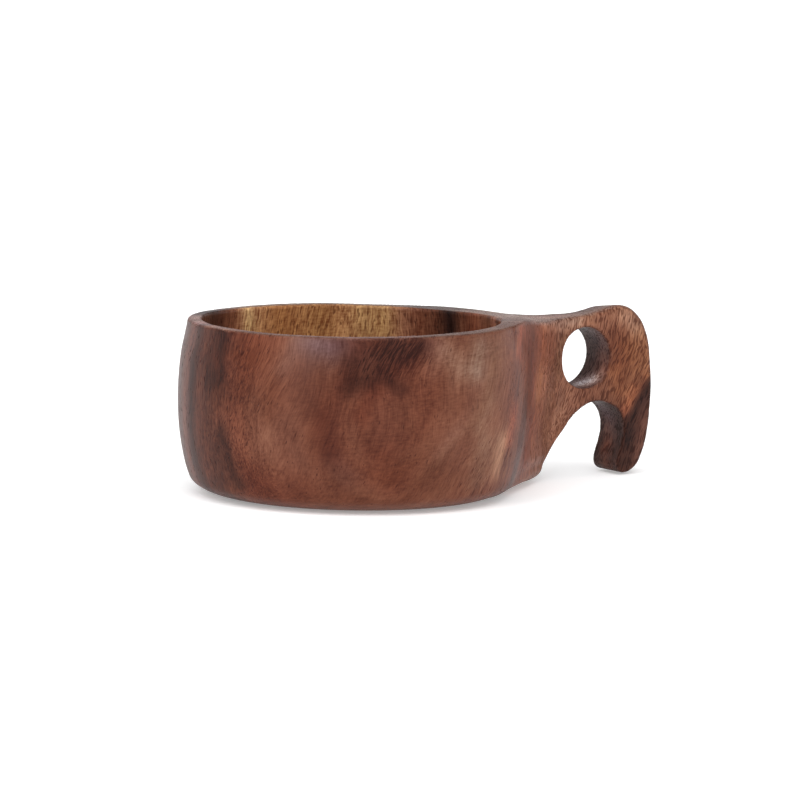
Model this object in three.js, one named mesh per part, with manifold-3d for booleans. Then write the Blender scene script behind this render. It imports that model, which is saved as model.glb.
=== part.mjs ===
// A kuksa: a drinking cup carved from one block of wood, bowl and handle
// together. Millimetres, +Z up. The origin is the centre of the bowl's flat
// foot, on the surface that the cup stands on. The handle points along +X, and
// its two flat cheeks face -Y and +Y.
//
// The cup is one piece of wood, so the model is one solid:
//   bowl    a barrel-sided turned bowl, very slightly oval
//   root    the thick web that flows out of the bowl into the handle
//   handle  a flat plate with a finger hole, a hooked trunk and rounded edges
//   cavity  the hollow, set slightly away from the handle
import * as THREE from 'three';
import { mergeVertices } from 'three/addons/utils/BufferGeometryUtils.js';
import Module from 'manifold-3d';

const wasm = await Module();
wasm.setup();

// ---- driving dimensions -----------------------------------------------------
const BOWL_HEIGHT = 57.45;      // foot to rim, on the bowl's axis
const BOWL_RADIUS = 57.0;       // at the belly
const RIM_RADIUS = 53.8;        // outside of the rim
const MOUTH_RADIUS = 48.6;      // inside of the rim
const MOUTH_OFFSET = -1.0;      // the hollow's axis, away from the handle
const OVAL = 1.013;             // the bowl is this much wider across the handle
const RIM_RISE = 0.0084;        // the rim climbs this much per mm towards the handle
const FLOOR_THICKNESS = 6.5;    // wood under the hollow

const PLATE = 14.7;             // handle thickness, cheek to cheek
const EDGE = 1.5;               // rounding of the handle's edges
const FLANK = THREE.MathUtils.degToRad(51.3);  // azimuth of the root's flat flanks' normals
const FLANK_EASE = 2.4;         // how far the flanks sit inside the belly
const FLANK_FOOT = 2.3;         // and how much further near the foot
const ROOT_SWEEP = 18.0;        // concave radius from flank to cheek, in plan

const HOLE_RADIUS = 10.3;       // finger hole
const HOLE_X = 88.65;
const HOLE_Z = 40.4;

const SEGMENTS = 72;            // facets round the bowl

// Outside of the bowl, radius and height: foot, soft corner, belly, rim.
const BOWL_PROFILE = [
  [41.0, 0.0], [46.3, 0.8], [49.8, 2.1], [52.2, 4.1], [53.8, 7.6], [55.4, 14.0],
  [56.5, 21.8], [BOWL_RADIUS, 30.0], [56.9, 38.0], [56.1, 46.5], [54.9, 52.4],
  [54.1, 56.7], [53.5, BOWL_HEIGHT],
];

// Inside of the hollow, floor to mouth.
const HOLLOW_PROFILE = [
  [22.0, FLOOR_THICKNESS + 0.35], [31.0, 8.1], [38.5, 11.1], [44.0, 15.9],
  [47.5, 22.7], [49.2, 30.5], [49.6, 39.0], [49.3, 48.0], [MOUTH_RADIUS, 56.7],
  [MOUTH_RADIUS + 0.6, BOWL_HEIGHT],
];

// Side outline of the handle, x and z, counter-clockwise from its foot.
const FOOT_OF_ROOT = [[44.0, 0.0], [64.3, 0.0]];
const UNDERSIDE = [
  [66.2, 0.35], [67.8, 1.3], [69.2, 3.4], [71.4, 7.0], [74.5, 10.6], [77.6, 14.0],
  [80.5, 17.2], [83.0, 20.1], [85.5, 22.3], [87.9, 23.9], [90.5, 25.1], [93.6, 25.7],
];
const INSIDE_OF_TRUNK = [
  [96.7, 25.4], [99.1, 24.5], [101.9, 23.0], [104.3, 20.2], [105.35, 17.0],
  [105.35, 13.6], [104.6, 10.2], [103.45, 6.9], [102.85, 4.4],
];
const TIP_OF_TRUNK = [[102.95, 3.0], [103.7, 1.4], [105.0, 0.55], [106.6, 0.5], [108.4, 1.15], [110.2, 2.3]];
const OUTSIDE_OF_TRUNK = [
  [111.6, 3.9], [112.9, 6.6], [114.2, 9.9], [115.0, 13.2], [115.8, 18.0], [116.3, 24.0],
  [116.5, 32.0], [116.2, 38.2], [115.7, 42.8], [115.0, 45.9], [113.95, 48.8],
];
const HEAD = [[112.4, 51.9], [110.2, 54.4], [107.4, 56.5], [104.4, 57.5], [101.3, 57.7]];
const BACK = [
  [97.0, 56.9], [92.5, 55.8], [88.0, 55.0], [83.5, 54.6], [78.5, 54.3], [73.5, 54.3],
  [69.0, 54.5], [65.0, 55.0], [61.5, 55.8], [58.0, 56.9], [55.0, 58.0], [52.0, 59.2],
  [44.0, 59.2],
];

// ---- helpers ------------------------------------------------------------------
const toSolid = (geometry) => {
  const bare = geometry.index ? geometry.toNonIndexed() : geometry.clone();
  bare.deleteAttribute('normal');
  bare.deleteAttribute('uv');
  const merged = mergeVertices(bare, 1e-4);
  return new wasm.Manifold(new wasm.Mesh({
    numProp: 3,
    vertProperties: new Float32Array(merged.attributes.position.array),
    triVerts: new Uint32Array(merged.index.array),
  }));
};

const toGeometry = (solid) => {
  const mesh = solid.getMesh();
  const geometry = new THREE.BufferGeometry();
  geometry.setAttribute('position', new THREE.BufferAttribute(new Float32Array(mesh.vertProperties), 3));
  geometry.setIndex(new THREE.BufferAttribute(new Uint32Array(mesh.triVerts), 1));
  geometry.computeVertexNormals();
  return geometry;
};

const move = (geometry, change) => {
  const p = geometry.attributes.position;
  for (let i = 0; i < p.count; i += 1) {
    const [x, y, z] = change(p.getX(i), p.getY(i), p.getZ(i));
    p.setXYZ(i, x, y, z);
  }
  return geometry;
};

// The turned shapes are slightly oval, and their rim climbs towards the handle.
const asCarved = (x, y, z) => [x, y * OVAL, z + RIM_RISE * x * (z / BOWL_HEIGHT) ** 2];

const turned = (profile, offset = 0) => {
  const low = profile[0][1];
  const high = profile[profile.length - 1][1];
  const points = [new THREE.Vector2(0, low)]
    .concat(profile.map(([r, z]) => new THREE.Vector2(r, z)))
    .concat([new THREE.Vector2(0, high)]);
  const geometry = new THREE.LatheGeometry(points, SEGMENTS);
  geometry.rotateX(Math.PI / 2);
  return toSolid(move(geometry, (x, y, z) => asCarved(x + offset, y, z)));
};

const sideShape = (points) => new THREE.Shape(points.map(([x, z]) => new THREE.Vector2(x, z)));

// A shape drawn in x and z, given a thickness across y.
const acrossY = (shape, thickness, edge = 0) => {
  const geometry = new THREE.ExtrudeGeometry(shape, {
    depth: thickness - 2 * edge,
    steps: 1,
    bevelEnabled: edge > 0,
    bevelThickness: edge,
    bevelSize: edge,
    bevelOffset: -edge,
    bevelSegments: 2,
    curveSegments: 20,
  });
  geometry.translate(0, 0, -(thickness - 2 * edge) / 2);
  geometry.rotateX(Math.PI / 2);
  return toSolid(geometry);
};

const radiusAt = (z) => {
  const k = BOWL_PROFILE.findIndex(([, h]) => h > z);
  if (k < 0) return BOWL_PROFILE[BOWL_PROFILE.length - 1][0];
  if (k === 0) return BOWL_PROFILE[0][0];
  const [r0, z0] = BOWL_PROFILE[k - 1];
  const [r1, z1] = BOWL_PROFILE[k];
  return r0 + ((r1 - r0) * (z - z0)) / (z1 - z0);
};

// ---- handle plate ---------------------------------------------------------------
const outline = [
  ...FOOT_OF_ROOT, ...UNDERSIDE, ...INSIDE_OF_TRUNK, ...TIP_OF_TRUNK,
  ...OUTSIDE_OF_TRUNK, ...HEAD, ...BACK,
];
const plate = acrossY(sideShape(outline), PLATE, EDGE);

// ---- root: the web between bowl and plate ------------------------------------------
// Its two flanks are flats that touch the bowl's side at one azimuth, follow
// its barrel in and out, and run through a concave sweep into the cheeks. In
// plan it ends by thinning away inside the plate.
const rise = (t, a, b) => THREE.MathUtils.smoothstep(t, a, b);
const flankReach = (z) => {
  const radius = radiusAt(Math.min(Math.max(z, 0.35), 56.5));
  const ease = FLANK_EASE * rise(radius, 53.8, BOWL_RADIUS);
  const foot = FLANK_FOOT * rise(z, 1, 7) * (1 - rise(z, 12, 30));
  return radius - ease - foot;
};

const SWEEP_STEPS = 6;
const rootPlan = (z) => {
  const reach = flankReach(z);
  const cheek = PLATE / 2 / OVAL;
  const cy = cheek + ROOT_SWEEP;
  const cx = (reach + ROOT_SWEEP - cy * Math.sin(FLANK)) / Math.cos(FLANK);
  const side = [[reach * Math.cos(FLANK), -reach * Math.sin(FLANK)]];
  for (let i = 0; i <= SWEEP_STEPS; i += 1) {
    const a = Math.PI + FLANK + ((Math.PI / 2 - FLANK) * i) / SWEEP_STEPS;
    side.push([cx + ROOT_SWEEP * Math.cos(a), -(cy + ROOT_SWEEP * Math.sin(a))]);
  }
  const below = [[22.0, -24.0], ...side, [cx + 2.4, -(cheek - EDGE * 1.3)]];
  const above = below.map(([x, y]) => [x, -y]).reverse();
  return below.concat(above);
};

const ROOT_LEVELS = [0, 0.8, 2.1, 4.1, 7.6, 14, 22, 30, 38, 46.5, 52.4, 56.7, 60];
const firstPlan = rootPlan(0);
const rootGeometry = new THREE.ExtrudeGeometry(
  new THREE.Shape(firstPlan.map(([x, y]) => new THREE.Vector2(x, y))),
  { depth: ROOT_LEVELS.length - 1, steps: ROOT_LEVELS.length - 1, bevelEnabled: false },
);
move(rootGeometry, (x, y, level) => {
  const height = ROOT_LEVELS[Math.round(level)];
  let nearest = 0;
  let best = Infinity;
  firstPlan.forEach(([px, py], i) => {
    const d = (px - x) ** 2 + (py - y) ** 2;
    if (d < best) { best = d; nearest = i; }
  });
  const [nx, ny] = rootPlan(height)[nearest];
  return [nx, ny * OVAL, height];
});

// From the side the root keeps to the handle's underside, and from above its
// top falls away from the rim by the distance from the bowl's axis.
const rootOutline = sideShape([[18, 0], [64.3, 0], ...UNDERSIDE.slice(0, 11), [92, 61], [18, 61]]);
const topProfile = [...BACK.slice(2)].map(([r, z]) => new THREE.Vector2(r, z));
const cap = new THREE.LatheGeometry(
  [new THREE.Vector2(0, -1), new THREE.Vector2(96, -1), new THREE.Vector2(96, BACK[2][1]),
    ...topProfile, new THREE.Vector2(0, 59.2)],
  SEGMENTS,
);
cap.rotateX(Math.PI / 2);
const root = toSolid(rootGeometry).intersect(acrossY(rootOutline, 110)).intersect(toSolid(cap));

// The rim's plane, which the handle's top does not pass, and the finger hole.
const rimAt = (x) => BOWL_HEIGHT + RIM_RISE * x;
const underRim = acrossY(sideShape([[-70, -1], [130, -1], [130, rimAt(130)], [-70, rimAt(-70)]]), 130);
const holeShape = new THREE.Shape();
holeShape.absarc(HOLE_X, HOLE_Z, HOLE_RADIUS, 0, Math.PI * 2, false);
const handle = root.add(plate).intersect(underRim).subtract(acrossY(holeShape, 40));

// ---- one piece of wood ----------------------------------------------------------
const bowl = turned(BOWL_PROFILE);
const hollow = turned([...HOLLOW_PROFILE, [MOUTH_RADIUS + 0.6, BOWL_HEIGHT + 6]], MOUTH_OFFSET);
const cup = bowl.add(handle).subtract(hollow);

const wood = new THREE.MeshStandardMaterial({ color: 0x7b4a34, roughness: 0.42, metalness: 0 });
const carvedCup = new THREE.Mesh(toGeometry(cup), wood);
carvedCup.name = 'carved_cup';

const kuksa = new THREE.Group();
kuksa.name = 'kuksa';
kuksa.add(carvedCup);

export default kuksa;
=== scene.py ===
# A kuksa: a drinking cup carved from one block of dark, clear-finished hardwood.
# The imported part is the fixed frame; this script gives its one node its looks:
# the same shape as a fine, smooth, evenly quadded skin, and wood in the round.
import math
import bpy
import numpy as np
from mathutils import Matrix, Vector


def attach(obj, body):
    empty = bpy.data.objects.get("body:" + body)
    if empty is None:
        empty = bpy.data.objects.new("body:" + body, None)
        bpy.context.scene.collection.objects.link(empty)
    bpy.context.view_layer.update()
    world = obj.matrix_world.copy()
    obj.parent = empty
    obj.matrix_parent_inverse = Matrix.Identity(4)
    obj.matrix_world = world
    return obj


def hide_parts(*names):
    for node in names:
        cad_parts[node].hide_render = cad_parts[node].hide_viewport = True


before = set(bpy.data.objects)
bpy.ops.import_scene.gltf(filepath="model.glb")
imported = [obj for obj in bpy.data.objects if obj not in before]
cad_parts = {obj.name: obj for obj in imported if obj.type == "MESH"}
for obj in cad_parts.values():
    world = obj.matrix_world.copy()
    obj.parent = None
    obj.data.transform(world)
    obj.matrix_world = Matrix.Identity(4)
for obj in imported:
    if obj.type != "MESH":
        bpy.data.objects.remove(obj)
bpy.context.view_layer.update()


# ---- the cup's shape, in millimetres, as one signed distance field -------------
BOWL_HEIGHT = 57.45
OVAL = 1.013
RIM_RISE = 0.0084
PLATE = 14.7
HOLE = (88.65, 40.4, 10.3)
MOUTH_OFFSET = -1.0
MOUTH = 49.0
RIM_SLOPE = 0.01        # the rim's top falls outwards, a hair
FAR_DIP = 0.95
FLANK = math.radians(51.3)   # the azimuth of the flanks' normals
FLANK_EASE = 2.4

BOWL_SIDE = [(0.0, 0.0), (25.0, 0.0), (37.0, 0.0), (42.2, 0.25), (46.3, 0.95), (49.6, 2.2),
             (52.2, 4.1), (53.75, 7.6), (55.35, 14.0), (56.5, 21.8), (57.0, 30.0),
             (56.9, 38.0), (56.1, 46.5), (54.9, 52.4), (53.95, 57.9), (53.6, 61.0)]
HOLLOW_SIDE = [(0.0, 6.5), (12.0, 6.6), (22.0, 7.0), (31.0, 8.2), (38.5, 11.2), (44.0, 16.0),
               (47.5, 22.8), (49.2, 30.5), (49.6, 39.0), (49.3, 48.0), (48.6, 57.9), (48.4, 61.0)]

OUTLINE = [
    (20.0, 0.0), (21.0, 0.0), (30.0, 0.0), (45.0, 0.0), (58.0, 0.0), (62.5, 0.0), (64.0, 0.0), (66.2, 0.35), (67.8, 1.3), (69.2, 3.4), (71.4, 7.0),
    (74.5, 10.6), (77.6, 14.0), (80.5, 17.2), (83.0, 20.1), (85.5, 22.3), (87.9, 23.9),
    (90.5, 25.1), (93.6, 25.7), (96.7, 25.4), (99.1, 24.5), (101.9, 23.0), (104.3, 20.2),
    (105.35, 17.0), (105.35, 13.6), (104.6, 10.2), (103.45, 6.9), (102.85, 4.4), (102.95, 3.0), (103.7, 1.4), (105.0, 0.55),
    (106.6, 0.5), (108.4, 1.15), (110.2, 2.3), (111.6, 3.9), (112.9, 6.6), (114.2, 9.9), (115.0, 13.2), (115.8, 18.0), (116.3, 24.0),
    (116.5, 32.0), (116.2, 38.2), (115.7, 42.8), (115.0, 45.9), (113.95, 48.8), (112.4, 51.9),
    (110.2, 54.4), (107.4, 56.5), (104.4, 57.6), (101.3, 57.8), (97.0, 57.0), (92.5, 55.9),
    (88.0, 55.05), (83.5, 54.6), (78.5, 54.3), (73.5, 54.3), (69.0, 54.5), (65.0, 55.0),
    (61.5, 55.8), (58.0, 56.9), (55.0, 58.0), (52.0, 59.2), (48.0, 60.0), (34.0, 60.0),
    (21.0, 60.0), (20.0, 60.0), (20.0, 58.0), (20.0, 30.0), (20.0, 1.0)]


def dense(points, closed, per=8):
    """Centripetal Catmull-Rom through the points, as a dense polyline."""
    p = np.asarray(points, float)
    n = len(p)
    if closed:
        q = np.vstack([p[-1], p, p[0], p[1]])
        spans = n
    else:
        q = np.vstack([2 * p[0] - p[1], p, 2 * p[-1] - p[-2]])
        spans = n - 1
    out = []
    for i in range(spans):
        p0, p1, p2, p3 = q[i], q[i + 1], q[i + 2], q[i + 3]
        t0 = 0.0
        t1 = t0 + max(np.hypot(*(p1 - p0)), 1e-6) ** 0.5
        t2 = t1 + max(np.hypot(*(p2 - p1)), 1e-6) ** 0.5
        t3 = t2 + max(np.hypot(*(p3 - p2)), 1e-6) ** 0.5
        t = np.linspace(t1, t2, per, endpoint=False)[:, None]
        a1 = (t1 - t) / (t1 - t0) * p0 + (t - t0) / (t1 - t0) * p1
        a2 = (t2 - t) / (t2 - t1) * p1 + (t - t1) / (t2 - t1) * p2
        a3 = (t3 - t) / (t3 - t2) * p2 + (t - t2) / (t3 - t2) * p3
        b1 = (t2 - t) / (t2 - t0) * a1 + (t - t0) / (t2 - t0) * a2
        b2 = (t3 - t) / (t3 - t1) * a2 + (t - t1) / (t3 - t1) * a3
        out.append((t2 - t) / (t2 - t1) * b1 + (t - t1) / (t2 - t1) * b2)
    if not closed:
        out.append(p[-1:])
    return np.vstack(out)


class Table:
    """Signed distance to a closed outline, on a fine 2-D grid, read smoothly."""

    def __init__(self, outline, low, high, step):
        self.low = np.asarray(low, float)
        self.step = step
        nu = int(np.ceil((high[0] - low[0]) / step)) + 1
        nv = int(np.ceil((high[1] - low[1]) / step)) + 1
        u = low[0] + step * np.arange(nu)
        v = low[1] + step * np.arange(nv)
        pu, pv = np.meshgrid(u, v, indexing="ij")
        pu = pu.ravel()
        pv = pv.ravel()
        best = np.full(pu.shape, 1e18)
        inside = np.zeros(pu.shape, bool)
        a = outline
        b = np.roll(outline, -1, 0)
        for (x0, y0), (x1, y1) in zip(a, b):
            dx, dy = x1 - x0, y1 - y0
            length = dx * dx + dy * dy
            if length < 1e-12:
                continue
            t = np.clip(((pu - x0) * dx + (pv - y0) * dy) / length, 0, 1)
            d = (pu - x0 - t * dx) ** 2 + (pv - y0 - t * dy) ** 2
            np.minimum(best, d, out=best)
            if y0 != y1:
                cross = ((y0 > pv) != (y1 > pv)) & (pu < (x1 - x0) * (pv - y0) / (y1 - y0) + x0)
                inside ^= cross
        d = np.sqrt(best)
        self.values = np.where(inside, -d, d).reshape(nu, nv)

    def __call__(self, u, v):
        nu, nv = self.values.shape
        x = np.clip((u - self.low[0]) / self.step, 1.0, nu - 2.001)
        y = np.clip((v - self.low[1]) / self.step, 1.0, nv - 2.001)
        i = x.astype(int)
        j = y.astype(int)
        fx = x - i
        fy = y - j

        def weights(f):
            # uniform cubic B-spline: slightly rounds the corners, and is smooth
            return ((1 - f) ** 3 / 6, (3 * f ** 3 - 6 * f ** 2 + 4) / 6,
                    (-3 * f ** 3 + 3 * f ** 2 + 3 * f + 1) / 6, f ** 3 / 6)

        wx = weights(fx)
        wy = weights(fy)
        total = np.zeros_like(fx)
        for a in range(4):
            row = np.zeros_like(fx)
            ii = i + a - 1
            for b in range(4):
                row += wy[b] * self.values[ii, j + b - 1]
            total += wx[a] * row
        return total


def both(a, b, r):
    """Intersection with its edge rounded to radius r."""
    u = np.maximum(a + r, 0)
    v = np.maximum(b + r, 0)
    return np.minimum(np.maximum(a, b), -r) + np.hypot(u, v)


def melt(a, b, k):
    """Union whose crease is filled over a distance k."""
    h = np.maximum(k - np.abs(a - b), 0) / np.maximum(k, 1e-9)
    return np.minimum(a, b) - h * h * h * k / 6


def smooth(t, a, b):
    t = np.clip((t - a) / (b - a), 0, 1)
    return t * t * (3 - 2 * t)


_side = dense(BOWL_SIDE, False, 6)
_hollow = dense(HOLLOW_SIDE, False, 6)
_ring = np.vstack([_side, [(0.0, 61.0)]])
_well = np.vstack([_hollow, [(0.0, 61.0)]])
_mirror = lambda line: np.vstack([line, (line * [-1, 1])[::-1]])
BOWL = Table(_mirror(_side), (-2.0, -3.0), (63.0, 62.0), 0.5)
WELL = Table(_mirror(_hollow), (-2.0, 0.0), (63.0, 62.0), 0.5)
SIDE = Table(dense(OUTLINE, True, 5), (18.0, -4.0), (120.0, 62.0), 0.5)
_radius = _side[(_side[:, 0] > 30.0) & (np.append(np.diff(_side[:, 1]), 1) > 1e-4)]


def wave(x, y, z):
    """The slight unevenness that hand sanding leaves."""
    return (0.10 * np.sin(0.113 * x + 0.071 * y + 0.9) * np.sin(0.123 * y - 0.094 * z + 2.1)
            + 0.06 * np.sin(0.21 * x - 0.17 * y + 0.19 * z + 0.4)
            + 0.035 * np.sin(0.43 * y + 0.31 * z + 1.3) * np.sin(0.37 * x + 1.9))


def field(x, y, z):
    """Signed distance, in millimetres: negative in the wood."""
    zz = z - RIM_RISE * x * np.clip(z / BOWL_HEIGHT, 0, 1.1) ** 2
    # the far side of the rim was taken down a touch more than the near side
    far = smooth(0.559 * x + 0.829 * y, -10.0, 46.0) * (1 - smooth(x, 62, 84))
    zz = zz + (FAR_DIP + 0.55 * smooth(x, 10, 42)) * far * smooth(zz, 30, 56)
    yy = y / OVAL
    r = np.hypot(x, yy)
    side = BOWL(r, zz)
    rim = zz - BOWL_HEIGHT - RIM_SLOPE * np.clip(MOUTH - r, -6.0, 2.0)
    ay = np.abs(yy)
    cheek = PLATE / 2 / OVAL
    # the root: two flanks, each a plane that just touches the bowl, blended into the plate
    radius = np.interp(np.clip(zz, 0.35, 57.0), _radius[:, 1], _radius[:, 0])
    radius = radius - FLANK_EASE * smooth(radius, 53.8, 57.0) - 2.3 * smooth(zz, 1, 7) * (1 - smooth(zz, 12, 30))
    flank = x * math.cos(FLANK) + ay * math.sin(FLANK) - radius
    ray = ay * math.cos(FLANK) - x * math.sin(FLANK)
    plan = melt(both(flank, ray - 0.5, 1.5), np.where(x > 0, ay - cheek, 9.0), 6.5)
    plan = np.where(x > 0, plan, 9.0)
    edge = 1.9 - 0.9 * smooth(60 - zz, 20, 34) * smooth(x, 40, 52)
    # the root's edge along the rim is as crisp as the rim's own
    edge = edge - 0.9 * (1 - smooth(x, 52, 66)) * smooth(zz, 20, 40)
    edge = edge - 0.7 * smooth(zz, 46, 52) * smooth(x, 52, 66) * (1 - smooth(x, 84, 98))
    inner = smooth(-np.hypot(x - 93.5, zz - 12.0), -17.5, -14.5) * smooth(-zz, -30, -26)
    edge = edge - 0.35 * inner
    # the top of the head falls a little towards the back cheek
    twist = (0.05 + 0.085 * smooth(x, 82, 98)) * smooth(x, 68, 90) * smooth(zz, 44, 52) * (yy + cheek)
    # beside the mouth, the top begins to fall at one distance from it
    along = x + (r - x) * smooth(zz, 40, 52) * (1 - smooth(x, 62, 78))
    handle = both(plan, SIDE(along, z + twist), edge)
    hole = HOLE[2] - np.hypot(x - HOLE[0], z - HOLE[1])
    handle = both(handle, hole, 0.75)
    wood = both(melt(side, handle, 3.0), rim, 0.75)
    wood = np.maximum(wood, -zz)
    well = WELL(np.hypot(x - MOUTH_OFFSET, yy), zz)
    wood = both(wood, -well, 0.8)
    return wood - 0.5 * wave(x, y, z) * smooth(z, 1.5, 9.0)


def gradient(x, y, z, e=0.12):
    g = np.stack([field(x + e, y, z) - field(x - e, y, z),
                  field(x, y + e, z) - field(x, y - e, z),
                  field(x, y, z + e) - field(x, y, z - e)], -1)
    return g / (2 * e)


def skin(step=0.85, rounds=3):
    """The field's surface as quads: surface nets, then pulled onto the surface."""
    low = np.array([-60.03, -60.21, -2.37])
    high = np.array([119.0, 60.5, 61.5])
    n = np.ceil((high - low) / step).astype(int) + 1
    xs = low[0] + step * np.arange(n[0])
    ys = low[1] + step * np.arange(n[1])
    zs = low[2] + step * np.arange(n[2])
    # coarse look first: skip the blocks that the surface doesn't cross
    values = np.full(n, 9.0, np.float64)
    block = 8
    half = step * block * 0.5 * np.sqrt(3) + 1.5
    for i in range(0, n[0], block):
        X, Y, Z = np.meshgrid(xs[i:i + block], ys, zs, indexing="ij")
        bx = xs[i] + step * (block - 1) / 2
        cy = ys[::block] + step * (block - 1) / 2
        cz = zs[::block] + step * (block - 1) / 2
        CY, CZ = np.meshgrid(cy, cz, indexing="ij")
        d = np.abs(field(np.full_like(CY, bx), CY, CZ))
        near = np.repeat(np.repeat(d < half + 2.0, block, 0), block, 1)[:n[1], :n[2]]
        sign = np.repeat(np.repeat(field(np.full_like(CY, bx), CY, CZ), block, 0), block, 1)[:n[1], :n[2]]
        mask = np.broadcast_to(near[None], X.shape)
        part = np.broadcast_to(np.where(sign < 0, -9.0, 9.0)[None], X.shape).copy()
        part[mask] = field(X[mask], Y[mask], Z[mask])
        values[i:i + block] = part
    solid = values < 0
    # cells with a change of sign
    corner = [(a, b, c) for a in (0, 1) for b in (0, 1) for c in (0, 1)]
    count = sum(solid[a:n[0] - 1 + a, b:n[1] - 1 + b, c:n[2] - 1 + c].astype(np.int8) for a, b, c in corner)
    active = (count > 0) & (count < 8)
    cells = np.argwhere(active)
    index = np.full(active.shape, -1, np.int64)
    index[tuple(cells.T)] = np.arange(len(cells))
    total = np.zeros((len(cells), 3))
    hits = np.zeros(len(cells))
    for p in corner:
        for axis in range(3):
            if p[axis] == 1:
                continue
            q = list(p)
            q[axis] = 1
            va = values[tuple((cells + p).T)]
            vb = values[tuple((cells + q).T)]
            cross = (va < 0) != (vb < 0)
            t = np.where(cross, va / np.where(cross, va - vb, 1), 0)
            pos = np.array(p, float)[None].repeat(len(cells), 0)
            pos[:, axis] += t
            total[cross] += pos[cross]
            hits[cross] += 1
    verts = low + step * (cells + total / hits[:, None])
    quads = []
    for axis in range(3):
        u, v = (axis + 1) % 3, (axis + 2) % 3
        s0 = [slice(1, None)] * 3
        s1 = [slice(1, None)] * 3
        s0[axis] = slice(0, n[axis] - 1)
        s1[axis] = slice(1, n[axis])
        s0[u] = s1[u] = slice(1, n[u] - 1)
        s0[v] = s1[v] = slice(1, n[v] - 1)
        a = solid[tuple(s0)]
        b = solid[tuple(s1)]
        base = np.argwhere(a != b)
        offset = np.array([1, 1, 1])
        offset[axis] = 0
        base = base + offset
        flip = a[tuple((base - offset).T)]
        def cell(du, dv):
            c = base.copy()
            c[:, u] -= du
            c[:, v] -= dv
            return index[tuple(c.T)]
        quad = np.stack([cell(1, 1), cell(0, 1), cell(0, 0), cell(1, 0)], -1)
        quad[~flip] = quad[~flip][:, ::-1]
        quads.append(quad)
    quads = np.vstack(quads)
    # even the quads out along the surface, and pull them onto it
    m = len(verts)
    edges = np.vstack([quads[:, [0, 1]], quads[:, [1, 2]], quads[:, [2, 3]], quads[:, [3, 0]]])
    for k in range(rounds):
        mean = np.zeros_like(verts)
        weight = np.zeros(m)
        np.add.at(mean, edges[:, 0], verts[edges[:, 1]])
        np.add.at(mean, edges[:, 1], verts[edges[:, 0]])
        np.add.at(weight, edges[:, 0], 1)
        np.add.at(weight, edges[:, 1], 1)
        mean /= weight[:, None]
        g = gradient(*verts.T)
        size = np.linalg.norm(g, axis=1, keepdims=True)
        normal = g / np.maximum(size, 1e-6)
        shift = mean - verts
        shift -= normal * (shift * normal).sum(1, keepdims=True)
        verts = verts + 0.45 * shift
        for _ in range(2):
            f = field(*verts.T)
            g = gradient(*verts.T)
            verts = verts - g * (f / np.maximum((g ** 2).sum(1), 0.25))[:, None]
    g = gradient(*verts.T)
    normals = g / np.maximum(np.linalg.norm(g, axis=1, keepdims=True), 1e-6)
    return verts, quads, normals



WORLD = 0.60
LAMPS = [
    # name, where, aim, width, height, power
    ("left_panel", (-2.35, -0.75, 0.95), (0.0, 0, 0.03), 0.9, 1.5, 19.0),
]
SUNS = [
    # name, azimuth, elevation (degrees), strength, spread (degrees)
    ("overhead_diffuser", -150.0, 62.0, 1.45, 70.0),
    ("front_diffuser", -95.0, 38.0, 0.75, 60.0),
]


# ---- the wood's figure: growth rings, bands, stains, and painted sheen and highlights on the tops, the holes' walls and a few marks, worked out in the round -----
FIBRE = math.radians(70.0)      # the growth rings' normal, as an azimuth
RING_REACH = 14.0               # how far a bend in the rings is felt, mm


def plain_rings(p):
    return p[:, 0] * math.cos(FIBRE) + p[:, 1] * math.sin(FIBRE)


def solve_bends():
    points = np.array([q for _, line in BENDS for q in line], float)
    values = np.array([v for v, line in BENDS for _ in line], float)
    d2 = ((points[:, None] - points[None]) ** 2).sum(-1)
    k = np.exp(-d2 / (2 * RING_REACH ** 2)) + 0.03 * np.eye(len(points))
    return points, np.linalg.solve(k, values - plain_rings(points))


def rings(p):
    """How far along the rings' normal a point lies, bends and ripples included."""
    points, weights = solve_bends()
    s = plain_rings(p)
    for i in range(0, len(p), 4000):
        part = p[i:i + 4000]
        d2 = ((part[:, None] - points[None]) ** 2).sum(-1)
        s[i:i + 4000] += np.exp(-d2 / (2 * RING_REACH ** 2)) @ weights
    x, y, z = p.T
    s += 0.42 * np.sin(0.21 * z + 0.16 * x + 1.0) * np.sin(0.13 * y - 0.17 * x + 0.4)
    s += 0.20 * np.sin(0.47 * z - 0.31 * x + 2.2) * np.sin(0.39 * y + 0.23 * z + 1.1)
    return s


def hats(s, knots):
    """Weights of a smooth ramp's stops at each s."""
    knots = np.asarray(knots, float)
    i = np.clip(np.searchsorted(knots, s) - 1, 0, len(knots) - 2)
    f = np.clip((s - knots[i]) / (knots[i + 1] - knots[i]), 0, 1)
    f = f * f * (3 - 2 * f)
    out = np.zeros((len(s), len(knots)))
    rows = np.arange(len(s))
    out[rows, i] = 1 - f
    out[rows, i + 1] += f
    return out


def reach(p, line):
    line = np.asarray(line, float)
    best = np.full(len(p), 1e9)
    for a, b in zip(line[:-1], line[1:]):
        ab = b - a
        u = np.clip(((p - a) @ ab) / max((ab ** 2).sum(), 1e-9), 0, 1)
        best = np.minimum(best, ((p - a - u[:, None] * ab) ** 2).sum(1))
    return best


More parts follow.
